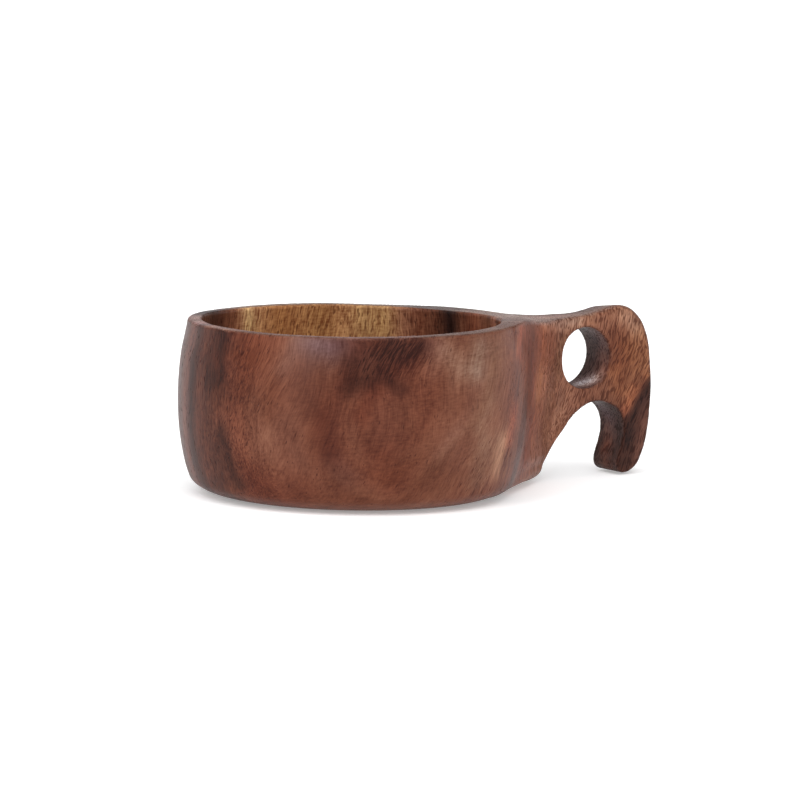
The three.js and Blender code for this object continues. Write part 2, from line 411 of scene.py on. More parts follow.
def zones(p, n):
    """Shares of the hollow's wall, of the handle's holes' walls, of the tops, and the rest."""
    x, y, z = p.T
    r = np.hypot(x - MOUTH_OFFSET, y / OVAL)
    well = WELL(r, z)
    hollow = np.exp(-np.maximum(np.abs(well) - 0.6, 0) ** 2 / 0.3) * (r < 51.5) * (z > 2)
    hollow = hollow * (1 - 0.85 * smooth(z - RIM_RISE * x, BOWL_HEIGHT - 1.3, BOWL_HEIGHT - 0.2))
    inner = (np.abs(y) < 7.7) * smooth(np.hypot(n[:, 0], n[:, 2]), 0.75, 0.95) * (x > 66)
    near = np.minimum(np.abs(np.hypot(x - HOLE[0], z - HOLE[1]) - HOLE[2]), 9.0)
    arch = (z < 27) & (x < 107)
    # the holes' walls take a greyer tone: a painted sheen on the wood
    wall = inner * np.maximum((near < 1.5), arch)
    # the tops take a lighter, greyer tone: a painted sheen over the end grain
    top = smooth(n[:, 2], 0.55, 0.85) * smooth(z, 48, 52) * (1 - hollow)
    return hollow, wall * (1 - hollow), top


KNOTS_BOWL = [-59, -57, -55.5, -54.2, -53, -51.9, -50.8, -49.7, -48.5, -47.2, -45.8, -44.3, -42.6,
              -40.6, -38.3, -35.8, -33, -30, -27.8, -26, -24.4, -22.9, -21.4, -19.9, -18.4, -16.9, -15.4,
              -13.9, -12.4, -10.9, -9.4, -7.9, -6.2, -4, -1, 4, 9, 14, 18.5, 22.5, 25.5, 28, 30.5, 33.5, 37, 40, 42.5, 45.5, 49, 53, 58]
KNOTS_HANDLE = [-36, -33, -30.5, -28.5, -26.5, -24.5, -22.5, -20.5, -18.5, -16.5, -14.5, -12.5,
                -10.5, -8.5, -6.5, -4.5, -2.5, 0, 2.5, 5, 7.5, 10, 12.5, 15, 17.5, 20, 22.5, 25, 27.5,
                30, 32.5, 35, 38, 42]


def features(p, n):
    """One column for each thing that colours the wood."""
    s = rings(p)
    hollow, wall, top = zones(p, n)
    arm = smooth(p[:, 0], 35.0, 45.0) * (1 - hollow)
    ones = np.ones(len(p))
    columns = [ones, hollow, wall, top]
    bowl = hats(s, KNOTS_BOWL) * (1 - arm)[:, None]
    handle = hats(s, KNOTS_HANDLE) * arm[:, None]
    marks = []
    for zone, width, tone, line in STROKES:
        share = {"i": hollow, "h": wall, "t": top}.get(zone)
        if share is None:
            share = (1 - hollow) * (1 - wall) * (1 - top)
        marks.append(np.exp(-reach(p, line) / width ** 2) * share)
    return s, np.hstack([np.stack(columns, 1), bowl, handle, np.stack(marks, 1)])


# where the wood's texture is rougher: place (mm), reach (mm), amount
ROUGH = [((-20.3, -51.8, 51.9), 7.0, 1.6), ((-13.9, -53.5, 53.8), 6.0, 1.8), ((-27.8, -48.8, 48.7), 7.0, 1.0)]


# the rings' bends: a value, and a line in the wood (mm) that the ring with that value follows
BENDS = [
    (-51.2, [(-32.6, -44.6, 52.6), (-34.5, -44.8, 46.3), (-36.7, -44.0, 39.2), (-38.2, -42.9, 32.7), (-38.5, -42.5, 27.9), (-37.4, -42.9, 21.5), (-34.6, -44.2, 15.9), (-30.7, -45.9, 11.0)]),
    (-51.2, [(17.4, -52.1, 55.6), (16.4, -54.1, 47.8), (13.6, -55.8, 41.8), (9.7, -56.9, 35.6), (5.1, -57.5, 29.5), (0.4, -57.4, 23.8), (-5.3, -56.3, 17.1), (-11.6, -54.3, 11.6)]),
    (-54.0, [(-26.4, -49.6, 48.8), (-29.6, -48.9, 40.9), (-31.4, -48.2, 33.0), (-30.8, -48.3, 24.9), (-26.8, -49.8, 17.7)]),
    (-54.0, [(6.0, -55.6, 51.0), (2.1, -57.5, 40.1), (-3.7, -57.6, 31.7), (-9.6, -56.6, 23.9), (-14.9, -54.7, 18.4)]),
    (-56.0, [(-14.7, -55.1, 44.7), (-17.3, -54.9, 37.0), (-21.0, -53.5, 28.2)]),
    (-45.0, [(25.2, -51.2, 43.8), (22.5, -53.1, 36.9), (18.2, -54.7, 29.2), (12.3, -55.8, 21.7), (6.6, -56.0, 15.5), (1.2, -55.4, 11.0)]),
    (-44.8, [(-44.1, -32.1, 55.5), (-46.1, -30.8, 50.6), (-48.0, -29.5, 45.8), (-49.5, -27.9, 41.0), (-50.2, -27.3, 36.5), (-50.4, -26.9, 29.9), (-49.8, -27.0, 21.9), (-48.2, -27.5, 13.8)]),
    (-48.2, [(-38.7, -39.4, 52.4), (-41.7, -38.4, 45.1), (-43.8, -36.7, 37.1), (-44.5, -36.0, 27.5), (-43.0, -36.7, 19.5), (-40.1, -38.4, 13.1)]),
    (-35.0, [(-51.6, -19.9, 50.8), (-53.4, -18.6, 42.9), (-54.2, -17.7, 34.7), (-54.1, -17.7, 25.9), (-52.8, -18.2, 16.2), (-50.8, -19.8, 9.8)]),
    (-24.0, [(-53.6, -6.8, 56.5), (-55.2, -6.3, 48.8), (-56.2, -6.5, 41.6), (-56.6, -6.7, 33.6), (-56.3, -7.0, 24.8), (-55.0, -7.4, 15.0), (-53.3, -9.2, 8.6)]),
    (-15.0, [(-54.7, 2.2, 52.7), (-56.5, 2.2, 42.3), (-57.0, 2.4, 30.9), (-56.3, 2.0, 20.4), (-54.7, -0.2, 10.8)]),
    (-7.5, [(-53.9, 9.3, 52.7), (-55.6, 9.3, 43.8), (-56.2, 9.8, 34.1), (-55.9, 9.7, 24.3), (-54.9, 8.7, 14.6), (-53.5, 7.4, 8.2)]),
    (-31.9, [(39.6, -38.7, 55.6), (35.5, -44.0, 46.5), (31.5, -48.0, 37.4), (29.6, -49.3, 27.9), (27.6, -49.5, 18.3)]),
    (-21.7, [(47.8, -31.6, 55.2), (48.0, -31.6, 46.2), (43.0, -37.8, 38.1), (38.7, -42.4, 30.7), (36.5, -43.6, 21.1), (35.2, -42.2, 10.3)]),
    (-1.3, [(62.9, -19.4, 53.2), (61.1, -20.9, 41.9), (56.4, -25.1, 30.9), (55.9, -23.2, 19.9), (53.9, -23.7, 10.2)]),
    (10.3, [(76.7, -9.0, 50.2), (73.8, -10.8, 44.3), (69.1, -14.7, 37.3), (64.5, -18.5, 30.6), (63.9, -17.9, 23.9), (66.1, -14.1, 16.6)]),
    (30.4, [(115.4, -7.3, 29.4), (111.9, -7.3, 25.7), (109.3, -7.3, 21.6), (106.9, -7.4, 17.1), (105.6, -7.2, 12.5), (103.9, -7.3, 4.9)]),
    (29.2, [(108.9, -7.4, 42.0), (106.0, -7.3, 33.7), (102.1, -7.4, 26.3)]),
]

# natural-log tones (red, green, blue): the wood, the hollow, the holes' walls (greyer with a painted sheen), and end
# grain on the tops (lighter and greyer with a painted sheen)
GROUNDS = [(-2.25, -3.44, -4.06), (0.86, 1.04, 0.97), (-0.42, -0.31, -0.05), (-0.01, 0.37, 0.65)]

# the same for the rings' ramp, one for each stop: the bowl's, then the handle's
RAMP_BOWL = [
    (-0.15, -0.2, -0.25),
    (-0.18, -0.24, -0.32),
    (-0.05, -0.13, -0.19),
    (0.12, 0.16, 0.15),
    (0.13, 0.15, 0.13),
    (0.23, 0.32, 0.36),
    (0.22, 0.33, 0.35),
    (0.13, 0.16, 0.14),
    (0.19, 0.25, 0.26),
    (0.26, 0.32, 0.32),
    (0.3, 0.39, 0.41),
    (0.39, 0.5, 0.51),
    (0.34, 0.39, 0.38),
    (0.26, 0.25, 0.21),
    (0.2, 0.14, 0.08),
    (0.2, 0.1, 0.02),
    (0.1, -0.02, -0.09),
    (0.07, -0.03, -0.08),
    (0.11, 0.04, 0.01),
    (0.18, 0.13, 0.11),
    (0.11, 0.06, 0.03),
    (-0.02, -0.08, -0.13),
    (-0.35, -0.43, -0.42),
    (-0.56, -0.63, -0.6),
    (-0.65, -0.75, -0.73),
    (-0.62, -0.74, -0.72),
    (-0.52, -0.62, -0.61),
    (-0.43, -0.55, -0.56),
    (-0.41, -0.56, -0.6),
    (-0.59, -0.77, -0.8),
    (-0.86, -1.02, -0.99),
    (-1.05, -1.13, -1.01),
    (-0.95, -0.96, -0.8),
    (-0.28, -0.24, -0.04),
    (0.0, 0.03, 0.19),
    (-0.63, -0.64, -0.55),
    (-0.48, -0.49, -0.4),
    (-0.59, -0.59, -0.49),
    (-0.86, -0.87, -0.77),
    (-0.96, -1.0, -0.91),
    (-1.15, -1.19, -1.09),
    (-1.29, -1.33, -1.19),
    (-1.33, -1.41, -1.31),
    (-0.9, -1.0, -0.95),
    (-0.47, -0.55, -0.54),
    (0.08, 0.15, 0.13),
    (0.35, 0.58, 0.52),
    (0.48, 0.71, 0.59),
    (0.37, 0.58, 0.45),
    (0.36, 0.53, 0.44),
    (0.35, 0.49, 0.41),
]
RAMP_HANDLE = [
    (0.38, 0.3, 0.25),
    (0.4, 0.32, 0.26),
    (0.45, 0.34, 0.28),
    (0.47, 0.35, 0.27),
    (0.42, 0.28, 0.2),
    (0.3, 0.14, 0.07),
    (0.16, -0.0, -0.07),
    (0.07, -0.09, -0.16),
    (0.0, -0.16, -0.22),
    (0.02, -0.14, -0.2),
    (0.15, 0.0, -0.06),
    (0.23, 0.08, 0.02),
    (0.31, 0.17, 0.1),
    (0.33, 0.2, 0.12),
    (0.31, 0.19, 0.1),
    (0.37, 0.27, 0.18),
    (0.47, 0.4, 0.3),
    (0.56, 0.52, 0.42),
    (0.57, 0.58, 0.51),
    (0.58, 0.63, 0.61),
    (0.55, 0.65, 0.66),
    (0.51, 0.66, 0.68),
    (0.53, 0.74, 0.78),
    (0.56, 0.78, 0.82),
    (0.7, 0.91, 0.94),
    (0.59, 0.81, 0.84),
    (0.58, 0.8, 0.88),
    (0.51, 0.73, 0.79),
    (0.31, 0.48, 0.51),
    (0.01, 0.15, 0.18),
    (-0.38, -0.26, -0.2),
    (-0.23, -0.02, 0.12),
    (-0.12, 0.2, 0.39),
    (-0.42, -0.16, -0.01),
]

# single marks: zone, width (mm), tone, line (mm)
STROKES = [
    # a grey band along the bowl's left edge: painted sheen
    ('o', 4.0, (0.04, 0.14, 0.21), [(-51.5, 22.3, 47.1), (-53.4, 20.2, 36.1), (-53.3, 19.8, 24.7), (-51.7, 19.6, 13.1)]),
    ('o', 4.5, (-0.97, -1.15, -1.14), [(-53.6, -6.8, 56.5), (-55.2, -6.3, 48.8), (-56.2, -6.5, 41.6)]),
    ('o', 4.5, (-0.5, -0.57, -0.62), [(-56.4, -6.8, 39.3), (-56.6, -7.3, 34.4)]),
    ('o', 3.4, (-0.81, -0.87, -0.86), [(-56.1, -8.8, 24.9), (-55.5, -9.3, 20.0), (-54.3, -10.7, 13.7), (-52.3, -12.9, 7.9)]),
    ('o', 3.0, (0.13, 0.1, 0.04), [(-56.9, -3.8, 34.8), (-56.8, -3.0, 27.5), (-56.3, -1.0, 20.0), (-55.0, -2.3, 12.7)]),
    ('o', 2.0, (-0.32, -0.36, -0.33), [(-55.7, -6.3, 18.2), (-54.8, -6.5, 13.3), (-53.8, -7.1, 9.2)]),
    ('o', 7.0, (-0.36, -0.47, -0.52), [(-52.6, -17.1, 50.6), (-53.8, -17.6, 42.7), (-54.2, -17.5, 37.1)]),
    ('o', 7.0, (-0.07, 0.03, 0.09), [(-53.1, -21.1, 33.5), (-52.4, -22.3, 26.3), (-51.6, -22.7, 19.9)]),
    ('o', 7.0, (-0.42, -0.64, -0.69), [(-49.6, -22.4, 9.2), (-43.7, -31.0, 6.5)]),
    ('o', 7.0, (-0.19, -0.28, -0.33), [(-39.4, -35.9, 5.5), (-30.6, -43.0, 4.2)]),
    ('o', 3.0, (-0.03, 0.06, 0.17), [(-43.7, -32.6, 55.6), (-45.7, -31.4, 50.7), (-47.6, -30.1, 45.8)]),
    ('o', 3.0, (-0.23, -0.38, -0.48), [(-48.7, -29.0, 42.9), (-50.1, -27.5, 36.5), (-50.2, -27.4, 31.6)]),
    ('o', 6.0, (-0.37, -0.5, -0.53), [(-41.3, -37.9, 48.3), (-42.9, -37.7, 38.8)]),
    ('o', 5.0, (-0.16, -0.15, -0.1), [(-47.3, -32.1, 28.8), (-46.1, -33.3, 23.3), (-44.4, -34.6, 17.7)]),
    # a grey-blue patch just under the rim at the front left: a painted highlight
    ('o', 6.0, (0.1, 0.57, 1.11), [(-39.6, -37.8, 55.0), (-36.2, -41.4, 53.7)]),
    ('o', 5.0, (-0.52, -0.68, -0.57), [(-32.2, -44.1, 56.2), (-28.5, -46.8, 55.4)]),
    ('o', 4.0, (-0.33, -0.56, -0.67), [(-33.0, -45.3, 48.6), (-35.1, -45.0, 42.4), (-36.7, -44.1, 37.6)]),
    ('o', 4.5, (-0.59, -0.96, -1.09), [(-38.2, -42.8, 31.2), (-38.1, -42.7, 26.3), (-37.2, -43.0, 21.5)]),
    ('o', 4.5, (-0.27, -0.32, -0.25), [(-35.9, -43.5, 17.5), (-32.2, -45.2, 12.6)]),
    ('o', 3.6, (-0.87, -1.03, -1.04), [(-32.1, -47.3, 41.6), (-29.6, -48.7, 43.4), (-27.2, -50.1, 43.5)]),
    ('o', 3.2, (-0.21, -0.45, -0.55), [(-26.2, -50.9, 41.0), (-28.1, -50.1, 37.0), (-29.7, -49.3, 33.0)]),
    ('o', 5.0, (-0.77, -0.91, -0.89), [(-30.4, -47.1, 48.8), (-26.2, -49.1, 51.2), (-21.0, -51.4, 52.4)]),
    ('o', 4.2, (-0.69, -0.76, -0.65), [(-18.5, -51.7, 55.5), (-13.9, -53.5, 53.9), (-10.1, -54.2, 54.8)]),
    ('o', 3.0, (-0.14, -0.22, -0.25), [(-21.4, -52.2, 48.0), (-16.9, -53.9, 47.9), (-12.1, -54.5, 50.9)]),
    ('o', 2.3, (-0.7, -0.84, -0.83), [(-23.1, -51.9, 45.4), (-20.3, -53.4, 43.1), (-17.7, -54.6, 40.9)]),
    ('o', 2.2, (0.1, 0.18, 0.26), [(-7.4, -54.4, 56.0), (-8.6, -54.6, 53.8)]),
    ('o', 4.0, (0.05, -0.05, -0.15), [(-23.5, -49.4, 56.2), (-21.4, -50.6, 55.5)]),
    ('o', 8.0, (0.03, 0.05, 0.11), [(-21.2, -53.6, 34.6), (-22.4, -52.8, 25.0)]),
    ('o', 8.0, (0.1, 0.09, 0.08), [(-10.0, -56.7, 38.3), (-8.1, -57.1, 29.4)]),
    ('o', 8.0, (-0.23, -0.45, -0.58), [(-21.6, -51.9, 15.2), (-18.1, -52.6, 11.9)]),
    ('o', 8.0, (-0.19, -0.26, -0.32), [(-7.1, -56.0, 16.4), (-2.7, -55.4, 11.2)]),
    ('o', 6.0, (0.38, 0.73, 0.89), [(-1.0, -55.7, 51.8), (3.4, -56.6, 47.1)]),
    ('o', 4.0, (0.16, 0.28, 0.39), [(-4.0, -55.1, 54.3), (-7.5, -56.2, 46.9)]),
    ('o', 4.5, (0.42, 0.89, 1.1), [(12.8, -54.0, 52.8), (10.7, -55.9, 45.9)]),
    ('o', 4.5, (0.16, 0.29, 0.37), [(1.2, -57.6, 27.3), (-4.0, -56.9, 20.4)]),
    ('o', 4.5, (0.15, 0.32, 0.34), [(21.7, -51.2, 52.1), (19.1, -53.8, 44.4)]),
    ('o', 4.5, (0.35, 0.64, 0.72), [(16.2, -55.5, 35.8), (11.7, -56.5, 28.2)]),
    ('o', 5.5, (0.12, 0.39, 0.48), [(14.9, -55.0, 19.7), (13.2, -53.5, 10.0)]),
    ('o', 4.0, (-0.1, -0.1, -0.07), [(-0.6, -56.5, 16.1), (2.7, -57.1, 20.8)]),
    ('o', 5.0, (0.66, 1.15, 1.28), [(23.8, -51.9, 22.0), (23.0, -50.5, 12.1)]),
    ('o', 3.2, (0.53, 0.42, 0.38), [(39.6, -38.7, 55.6), (35.9, -43.3, 48.0)]),
    ('o', 3.2, (0.49, 0.33, 0.22), [(30.8, -48.6, 30.9), (28.6, -49.3, 21.4)]),
    ('o', 3.6, (0.38, 0.39, 0.31), [(60.5, -21.3, 53.6), (61.1, -20.7, 46.8)]),
    ('o', 4.0, (0.49, 0.68, 0.58), [(58.6, -23.1, 38.9), (56.3, -25.1, 31.7)]),
    ('o', 4.0, (-0.08, -0.22, -0.22), [(53.4, -25.4, 20.4), (51.4, -25.7, 10.6)]),
    ('o', 3.2, (0.26, 0.34, 0.36), [(81.1, -7.7, 27.6), (77.9, -8.1, 22.7), (74.6, -8.6, 17.1)]),
    # a pale band just under the handle's top edge: a painted highlight
    ('o', 3.0, (0.51, 0.82, 0.98), [(61.4, -20.0, 54.8), (76.3, -9.2, 52.7), (84.8, -7.4, 52.6)]),
    ('o', 2.6, (-0.16, -0.18, -0.29), [(78.6, -8.3, 47.0), (75.9, -9.5, 42.3), (76.0, -9.6, 36.5)]),
    ('o', 3.8, (0.2, 0.26, 0.25), [(86.9, -7.3, 53.3), (94.1, -7.3, 54.2), (100.3, -7.4, 54.8)]),
    ('o', 4.2, (0.65, 0.95, 1.07), [(105.5, -7.4, 53.2), (109.2, -7.4, 49.7)]),
    ('o', 5.0, (-0.22, -0.41, -0.54), [(101.5, -7.4, 46.7), (102.8, -7.3, 40.6)]),
    ('o', 5.0, (0.58, 0.61, 0.42), [(107.9, -7.4, 42.9), (109.2, -7.3, 36.1)]),
    ('o', 4.2, (0.45, 0.43, 0.26), [(100.9, -7.4, 34.8), (103.0, -7.4, 28.8)]),
    ('o', 3.6, (0.03, 0.0, -0.01), [(92.6, -7.4, 29.3), (87.6, -7.4, 27.9)]),
    ('o', 2.6, (0.55, 0.63, 0.55), [(112.3, -7.3, 47.8), (114.3, -7.3, 40.0), (114.8, -7.3, 34.1)]),
    ('o', 3.0, (0.82, 0.82, 0.69), [(108.8, -7.3, 28.4), (106.8, -7.3, 24.3)]),
    ('o', 2.9, (-1.4, -1.54, -1.38), [(115.4, -7.3, 29.4), (111.9, -7.3, 25.7), (109.3, -7.3, 21.6), (106.9, -7.4, 17.1), (105.6, -7.2, 12.5)]),
    ('o', 2.4, (0.17, 0.24, 0.4), [(114.1, -7.3, 24.8), (113.2, -7.3, 18.0), (111.9, -7.4, 11.2), (110.9, -7.3, 4.5)]),
    ('o', 2.4, (-1.09, -1.15, -0.96), [(104.9, -5.6, 11.5), (103.6, -5.9, 7.2), (103.1, -7.0, 3.2)]),
    ('o', 2.2, (-0.45, -0.43, -0.31), [(109.1, -7.4, 14.9), (107.8, -7.4, 8.1), (106.9, -7.3, 3.0)]),
    ('o', 2.2, (0.41, 0.31, 0.27), [(104.5, -7.4, 21.9), (105.0, -5.1, 18.2)]),
    ('o', 1.0, (-0.14, -0.2, -0.21), [(45.3, -33.7, 55.2), (47.5, -31.9, 48.8), (45.1, -35.4, 38.5), (41.1, -40.0, 28.1), (42.1, -37.5, 18.2)]),
    ('o', 1.4, (0.09, 0.0, -0.01), [(49.1, -30.5, 53.2), (52.2, -28.0, 42.6), (51.3, -27.5, 21.4)]),
    ('o', 1.1, (0.07, 0.08, 0.09), [(76.6, -9.1, 52.6), (75.2, -9.8, 47.4), (71.1, -12.9, 40.9), (65.3, -17.8, 32.6), (64.2, -17.7, 24.2), (66.2, -14.0, 16.4), (64.7, -14.7, 9.4)]),
    ('o', 1.0, (0.32, 0.4, 0.42), [(68.0, -15.3, 49.7), (65.3, -17.6, 40.4), (61.3, -21.0, 29.3)]),
    ('o', 1.1, (-0.24, -0.39, -0.43), [(-55.0, 9.6, 47.8), (-56.0, 9.8, 38.6), (-56.1, 9.8, 27.8), (-55.1, 10.2, 17.9), (-52.9, 11.1, 8.3)]),
    ('o', 1.2, (0.03, -0.04, -0.11), [(-57.0, 0.8, 32.1), (-56.6, 0.9, 23.4), (-56.0, 0.5, 18.0), (-54.2, 1.4, 9.1)]),
    ('o', 1.4, (0.18, 0.13, 0.08), [(-54.6, -0.2, 53.6), (-55.4, -2.6, 49.1), (-56.0, -5.8, 44.7)]),
    ('o', 1.6, (-0.35, -0.34, -0.26), [(-53.9, -5.2, 56.4), (-55.1, -6.4, 49.4), (-55.7, -8.4, 44.4)]),
    ('o', 1.2, (-0.51, -0.58, -0.55), [(-56.1, -7.9, 22.9), (-55.7, -9.5, 21.4), (-55.1, -11.5, 19.4), (-54.5, -11.7, 16.1)]),
    ('o', 1.2, (-0.25, -0.35, -0.39), [(-56.1, -7.0, 21.6), (-55.6, -5.0, 17.0), (-55.1, -2.9, 13.0)]),
    ('o', 1.5, (-0.24, -0.31, -0.35), [(-54.5, -10.8, 15.1), (-53.3, -12.8, 11.3), (-51.5, -15.2, 7.3)]),
    ('o', 1.2, (0.49, 0.43, 0.31), [(113.8, -7.3, 33.0), (111.4, -7.3, 28.8), (108.2, -7.3, 25.0), (105.6, -7.4, 21.0)]),
    ('o', 1.2, (-0.15, -0.11, -0.05), [(52.6, -26.8, 56.6), (68.5, -14.3, 54.1), (79.2, -8.1, 53.2), (85.9, -7.3, 53.6), (92.1, -7.3, 54.3)]),
    # on the holes' walls, the first, third and fourth marks, light and grey-blue, are painted sheen; the others are the
    # wood's colour
    ('h', 4.0, (0.42, 0.58, 0.81), [(96.5, -0.1, 47.0), (97.6, -2.1, 45.5)]),
    ('h', 4.0, (0.93, 0.88, 0.79), [(98.9, -1.4, 39.4), (98.1, -4.6, 36.3)]),
    ('h', 4.0, (2.31, 3.08, 3.38), [(92.1, 0.5, 30.8), (94.4, -2.1, 32.0)]),
    ('h', 4.0, (0.47, 0.61, 0.84), [(103.3, 4.0, 21.5), (104.8, 1.6, 19.1)]),
    ('h', 4.0, (0.84, 0.58, 0.35), [(105.4, 3.1, 13.8), (104.7, 1.3, 10.6)]),
    ('h', 4.0, (0.5, 0.12, -0.27), [(103.3, 1.5, 6.4), (102.9, -0.6, 3.3)]),
    ('i', 6.0, (0.14, 0.19, 0.26), [(-33.2, 37.1, 56.1), (-26.9, 41.9, 54.5)]),
    ('i', 3.5, (0.63, 0.93, 0.89), [(-11.1, 48.3, 55.6), (-9.2, 49.0, 50.5)]),
    ('i', 7.0, (-0.21, -0.33, -0.53), [(3.9, 49.1, 55.3), (4.6, 49.5, 48.5)]),
    ('i', 7.0, (-0.13, -0.13, -0.3), [(16.8, 46.0, 55.1), (17.2, 46.4, 47.8)]),
    ('i', 6.0, (-0.2, -0.09, -0.17), [(29.8, 38.2, 55.3), (30.5, 38.4, 47.6)]),
    ('i', 3.5, (-0.04, 0.05, -0.05), [(34.8, 33.5, 55.4), (35.4, 33.6, 47.9)]),
    ('i', 4.0, (-0.26, -0.25, -0.18), [(39.1, 27.9, 55.4), (39.7, 28.0, 48.2)]),
    ('i', 2.6, (-1.54, -1.48, -1.17), [(46.5, 12.4, 56.2), (46.7, 11.9, 50.7)]),
    ('i', 5.0, (0.16, -0.03, -0.09), [(47.7, 0.5, 56.0), (48.0, 0.9, 51.8)]),
    # the marks on the tops lighten the rim and the handle's top: painted sheen over the end grain
    ('t', 5.0, (0.37, 0.38, 0.4), [(101.1, 5.1, 56.1), (101.5, -5.8, 57.5)]),
    ('t', 5.0, (0.34, 0.31, 0.35), [(72.1, -3.6, 54.4), (81.4, -2.1, 54.3)]),
    ('t', 8.0, (1.36, 1.62, 1.7), [(-42.3, 30.2, 56.9), (-53.5, -0.2, 56.9)]),
    ('t', 8.0, (0.19, 0.05, 0.09), [(-36.8, -36.2, 57.1), (-16.5, -49.0, 57.3)]),
    ('t', 8.0, (0.33, 0.73, 0.94), [(39.8, -28.1, 57.6), (55.9, -12.1, 56.8)]),
]


def add_grain_and_sheen_fields(mesh, verts):
    """The figure, with its painted sheen and highlights, stored on the skin for the material to read."""
    s, columns = features(verts, normals)
    tones = np.vstack([GROUNDS, RAMP_BOWL, RAMP_HANDLE, [row[2] for row in STROKES]])
    tint = np.exp(np.clip(columns @ tones, -6.5, -0.2))
    x, y, z = verts.T
    # the hidden side keeps to the same wood, with its own slow changes
    t = -x * math.sin(FIBRE) + y * math.cos(FIBRE)
    t += 0.9 * np.sin(0.11 * z + 0.07 * x) + 0.5 * np.sin(0.19 * z - 0.12 * y + 1.7)
    # on the side away from the heart of the figure the fibres lean
    t += 0.42 * (z - 28.0) * np.exp(-(((s + 36.0) / 16.0) ** 2)) * (1 - smooth(x, 30.0, 60.0))
    t += 0.45 * np.minimum(z - 44.0, 0) * smooth(x, 60.0, 80.0)
    hollow, wall, top = zones(verts, normals)
    arm = smooth(x, 52.0, 72.0)
    centre = np.exp(-(((s + 57.0) / 9.0) ** 2)) * (1 - hollow)
    side = smooth(s, -50.0, -32.0)
    rough = np.zeros(len(s))
    for place, reach_mm, amount in ROUGH:
        rough = rough + amount * np.exp(-((verts - place) ** 2).sum(1) / reach_mm ** 2)
    t += 0.55 * np.clip(z - 44.0, -12, 12) * np.minimum(rough, 1.0)
    pores = 0.02 + np.maximum(0.90 * arm, 0.45 * hollow) + 0.34 * side * (1 - hollow) * (1 - arm) + 0.45 * rough
    pores = np.clip(np.maximum(pores, 0.7 * top), 0, 1)
    streaks = 0.62 + 0.95 * side * (1 - arm) * (1 - hollow) + 0.35 * arm + 0.50 * hollow + rough
    ripples = 0.25 + 0.75 * np.maximum(centre, hollow)
    w = z + 0.10 * t
    grain = np.stack([s, t, w], -1)
    habit = np.stack([pores, streaks, ripples], -1)
    zone = np.stack([hollow, wall, top], -1)
    colour = mesh.attributes.new("tint", "FLOAT_COLOR", "POINT")
    colour.data.foreach_set("color", np.hstack([tint, np.ones((len(tint), 1))]).astype(np.float32).ravel())
    for name, values in (("grain", grain), ("habit", habit), ("zone", zone)):
        layer = mesh.attributes.new(name, "FLOAT_VECTOR", "POINT")
        layer.data.foreach_set("vector", values.astype(np.float32).ravel())


